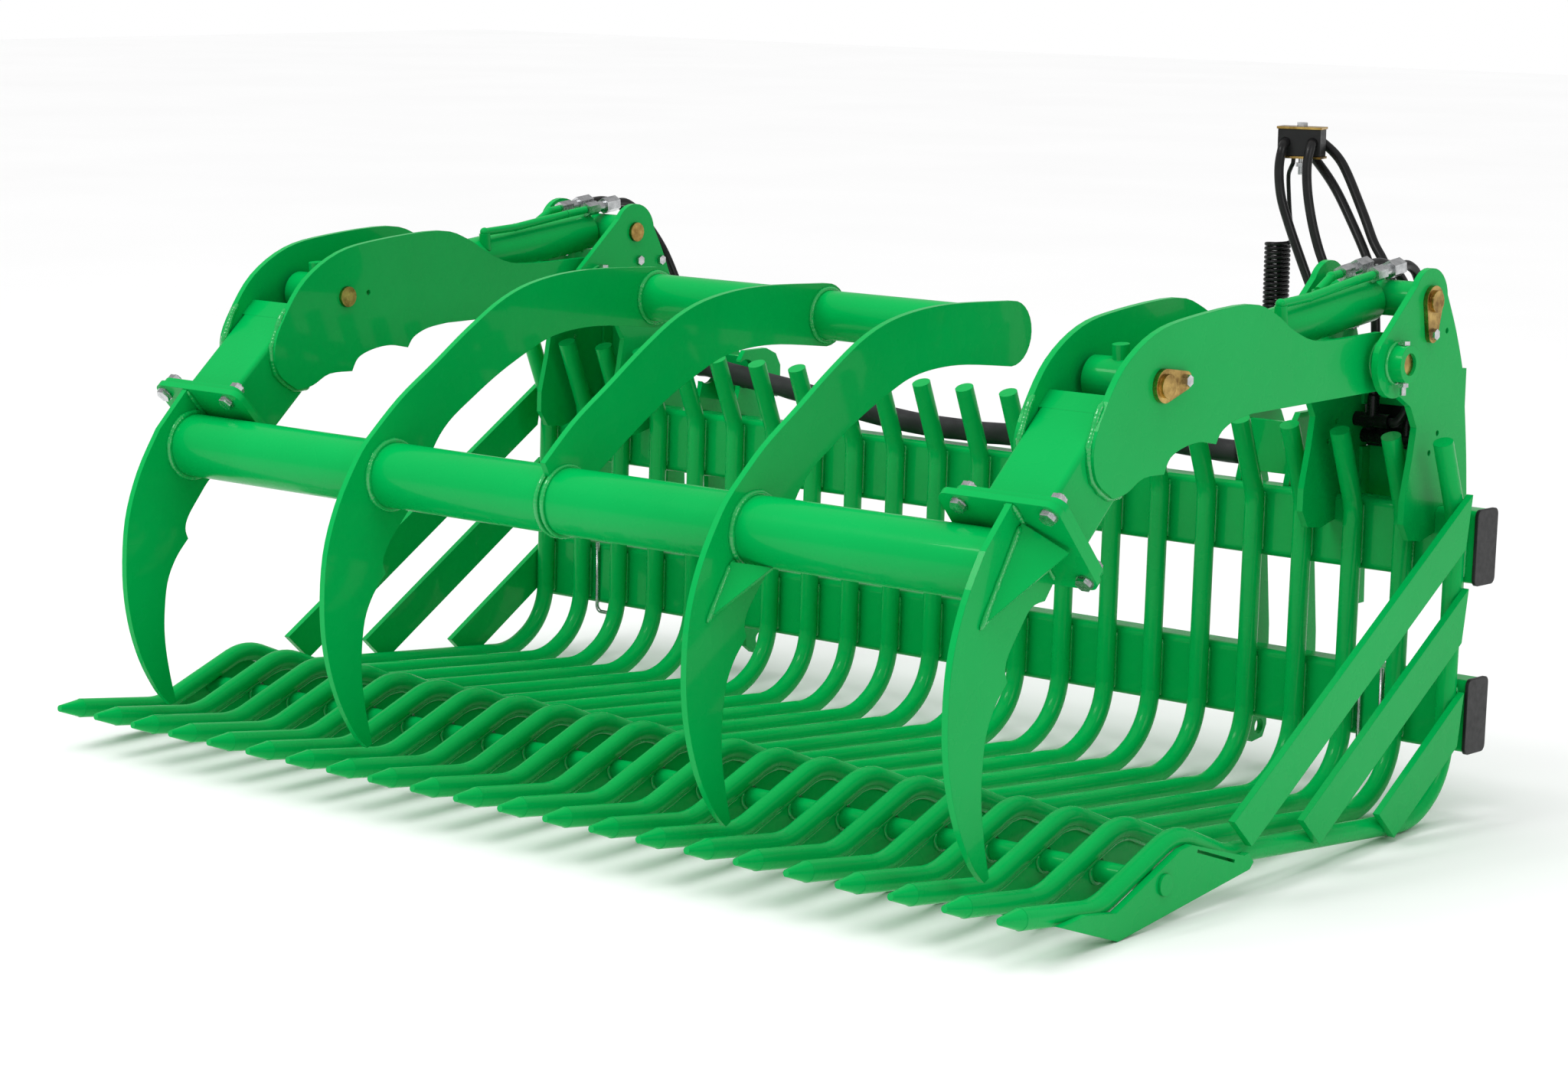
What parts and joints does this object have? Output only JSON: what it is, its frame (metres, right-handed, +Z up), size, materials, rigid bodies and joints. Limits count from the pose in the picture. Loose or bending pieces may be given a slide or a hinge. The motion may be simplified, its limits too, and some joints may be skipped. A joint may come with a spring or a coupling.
{
  "type": "grapple bucket",
  "caption": "Loader grapple bucket: a fork of bent round tines on a box-beam back frame, closed from above by a hinged claw grapple with hydraulic cylinders.",
  "frame": {"origin": "middle of the part's width and length, on the ground", "axes": "+X to the right along the bucket's width, the tines point to -Y, +Z up; rest pose is the grapple closed as in the picture"},
  "size_m": [2.204, 1.4876, 1.1811],
  "materials": {
    "green_powder_coat": "gloss powder coat",
    "yellow_zinc": "yellow passivated zinc on steel",
    "bright_zinc": "bright zinc on steel",
    "hose_rubber": "smooth black hose cover",
    "black_plastic": "satin",
    "black_steel": "black coated steel"
  },
  "bodies": {
    "bucket": {"tines_left": "green_powder_coat", "tines_right": "green_powder_coat", "crest_bar": "green_powder_coat", "crest_webs": "green_powder_coat", "skid_plate_left": "green_powder_coat", "skid_plate_right": "green_powder_coat", "side_slats_left": "green_powder_coat", "side_slats_right": "green_powder_coat", "upper_beam": "green_powder_coat", "lower_beam": "green_powder_coat", "beam_end_caps": "black_plastic", "tower_plates_left": "green_powder_coat", "tower_plates_right": "green_powder_coat", "pivot_bosses": "green_powder_coat", "pivot_pins": "yellow_zinc", "pivot_bolts": "bright_zinc", "cylinder_base_pins": "yellow_zinc", "base_pin_bolts": "bright_zinc", "loader_bracket_left": "green_powder_coat", "loader_bracket_right": "green_powder_coat", "u_rods": "bright_zinc", "post_spring": "black_steel", "post_socket": "green_powder_coat", "clamp_block": "black_plastic", "clamp_plates": "yellow_zinc", "clamp_bolt": "bright_zinc", "post_hoses": "hose_rubber", "cross_hose_sleeve": "black_plastic", "left_hoses": "hose_rubber", "right_hoses": "hose_rubber", "hose_tees": "black_steel", "hose_couplers": "bright_zinc"},
    "grapple": {"arm_plates_left": "green_powder_coat", "arm_plates_right": "green_powder_coat", "arm_hubs": "green_powder_coat", "box_tubes": "green_powder_coat", "flange_plates": "green_powder_coat", "flange_bolts": "bright_zinc", "rod_pins": "yellow_zinc", "rod_pin_bolts": "bright_zinc", "lower_pipe": "green_powder_coat", "upper_pipes": "green_powder_coat", "outer_claw_left": "green_powder_coat", "outer_claw_right": "green_powder_coat", "claw_bow_left": "green_powder_coat", "claw_bow_right": "green_powder_coat", "centre_bow": "green_powder_coat", "claw_gussets": "green_powder_coat"},
    "barrel_left": {"barrel_left": "green_powder_coat", "gland_left": "green_powder_coat", "hard_lines_left": "green_powder_coat", "port_fittings_left": "bright_zinc"},
    "rod_left": {"rod_left": "green_powder_coat", "piston_left": "bright_zinc"},
    "barrel_right": {"barrel_right": "green_powder_coat", "gland_right": "green_powder_coat", "hard_lines_right": "green_powder_coat", "port_fittings_right": "bright_zinc"},
    "rod_right": {"rod_right": "green_powder_coat", "piston_right": "bright_zinc"}
  },
  "joints": [
    {"name": "grapple_open", "type": "hinge", "parent": "bucket", "child": "grapple", "pos_m": [0, 0.423, 0.802], "axis": [-1, 0, 0], "range_deg": [0, 55]},
    {"name": "barrel_turn_left", "type": "hinge", "parent": "bucket", "child": "barrel_left", "pos_m": [-0.91, 0.534, 0.899], "axis": [-1, 0, 0], "range_deg": [0, 48.91], "deforming": ["left_hoses"]},
    {"name": "rod_slide_left", "type": "slide", "parent": "barrel_left", "child": "rod_left", "axis": [0, 0.9948, 0.1021], "range_m": [0, 0.1146]},
    {"name": "barrel_turn_right", "type": "hinge", "parent": "bucket", "child": "barrel_right", "pos_m": [0.91, 0.534, 0.899], "axis": [-1, 0, 0], "range_deg": [0, 48.91], "deforming": ["right_hoses"]},
    {"name": "rod_slide_right", "type": "slide", "parent": "barrel_right", "child": "rod_right", "axis": [0, 0.9948, 0.1021], "range_m": [0, 0.1146]}
  ],
  "couplings": [
    {"joint": "barrel_turn_left", "follows": "grapple_open", "ratio": 0.8875},
    {"joint": "rod_slide_left", "follows": "grapple_open", "m_per_rad": 0.1192},
    {"joint": "barrel_turn_right", "follows": "grapple_open", "ratio": 0.8875},
    {"joint": "rod_slide_right", "follows": "grapple_open", "m_per_rad": 0.1192}
  ]
}
